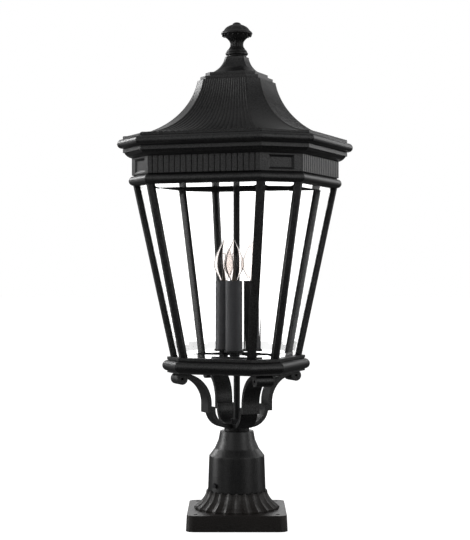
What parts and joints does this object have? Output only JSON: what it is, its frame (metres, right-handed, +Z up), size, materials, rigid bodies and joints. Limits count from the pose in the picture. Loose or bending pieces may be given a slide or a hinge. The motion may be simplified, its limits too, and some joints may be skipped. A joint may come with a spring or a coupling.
{
  "type": "post lantern",
  "caption": "Black octagonal post lantern with a bell-cast ribbed roof, bevelled glass and a candle cluster, on a fluted square-plate pier mount.",
  "frame": {"origin": "centre of the pier plate's underside", "axes": "+Z up along the post; X and Y along the plate's sides, with -Y towards the picture's camera; the lantern above is turned 21.1 degrees clockwise, seen from above, at rest"},
  "size_m": [0.3544, 0.3544, 0.7528],
  "materials": {
    "black_casting": "fine-textured black powder coat on cast aluminium",
    "pier_casting": "fine-textured brown-black powder coat on cast aluminium",
    "post_tube": "galvanised",
    "black_steel": "satin black",
    "screw_steel": "black oxide",
    "sleeve": "satin dark grey",
    "post_steel": "zinc plated",
    "phenolic": "moulded black",
    "lamp_cap": "rolled screw shell",
    "lamp_glass": "clear",
    "filament": "bare wire on a glass mount",
    "pane_glass": "clear, bevelled and polished"
  },
  "bodies": {
    "pier_base": {"pier_plate": "pier_casting", "post_stub": "post_tube"},
    "lantern": {"post_fitter": "black_casting", "bracket_hub": "black_casting", "scroll_arm_1": "black_casting", "scroll_arm_2": "black_casting", "scroll_arm_3": "black_casting", "scroll_arm_4": "black_casting", "bottom_ring": "black_casting", "cage_bar_1": "black_casting", "cage_bar_2": "black_casting", "cage_bar_3": "black_casting", "cage_bar_4": "black_casting", "cage_bar_5": "black_casting", "cage_bar_6": "black_casting", "cage_bar_7": "black_casting", "cage_bar_8": "black_casting", "frieze_ring": "black_casting", "cluster_dish": "black_casting", "drip_cup_1": "black_casting", "drip_cup_2": "black_casting", "drip_cup_3": "black_casting", "stem_pipe": "black_steel", "hub_nut": "black_steel", "fitter_nut": "black_steel", "cluster_nut": "black_steel", "set_screw_1": "screw_steel", "set_screw_2": "screw_steel", "wide_pane_1": "pane_glass", "wide_pane_2": "pane_glass", "wide_pane_3": "pane_glass", "wide_pane_4": "pane_glass", "narrow_pane_1": "pane_glass", "narrow_pane_2": "pane_glass", "narrow_pane_3": "pane_glass", "narrow_pane_4": "pane_glass", "candle_sleeve_1": "sleeve", "socket_post_1": "post_steel", "lamp_socket_1": "phenolic", "candle_sleeve_2": "sleeve", "socket_post_2": "post_steel", "lamp_socket_2": "phenolic", "candle_sleeve_3": "sleeve", "socket_post_3": "post_steel", "lamp_socket_3": "phenolic"},
    "roof": {"roof_shell": "black_casting", "roof_cap": "black_casting"},
    "finial_washer": {"finial_washer": "black_casting"},
    "finial": {"finial": "black_casting"},
    "lamp_1": {"lamp_base_1": "lamp_cap", "lamp_glass_1": "lamp_glass", "lamp_filament_1": "filament"},
    "lamp_2": {"lamp_base_2": "lamp_cap", "lamp_glass_2": "lamp_glass", "lamp_filament_2": "filament"},
    "lamp_3": {"lamp_base_3": "lamp_cap", "lamp_glass_3": "lamp_glass", "lamp_filament_3": "filament"}
  },
  "joints": [
    {"name": "lantern_turn", "type": "hinge", "parent": "pier_base", "child": "lantern", "pos_m": [0, 0, 0.049], "axis": [0, 0, 1], "continuous": true},
    {"name": "roof_lift", "type": "slide", "parent": "lantern", "child": "roof", "axis": [0, 0, 1], "range_m": [0, 0.06]},
    {"name": "finial_rise", "type": "slide", "parent": "roof", "child": "finial_washer", "axis": [0, 0, 1], "range_m": [0, 0.01125]},
    {"name": "finial_turn", "type": "hinge", "parent": "finial_washer", "child": "finial", "pos_m": [0, 0, 0.703], "axis": [0, 0, 1], "range_deg": [0, 4320]},
    {"name": "lamp_1_lift", "type": "slide", "parent": "lantern", "child": "lamp_1", "axis": [0, 0, 1], "range_m": [0, 0.03]},
    {"name": "lamp_2_lift", "type": "slide", "parent": "lantern", "child": "lamp_2", "axis": [0, 0, 1], "range_m": [0, 0.03]},
    {"name": "lamp_3_lift", "type": "slide", "parent": "lantern", "child": "lamp_3", "axis": [0, 0, 1], "range_m": [0, 0.03]}
  ],
  "couplings": [
    {"joint": "finial_turn", "follows": "finial_rise", "rad_per_m": 6677.1}
  ]
}
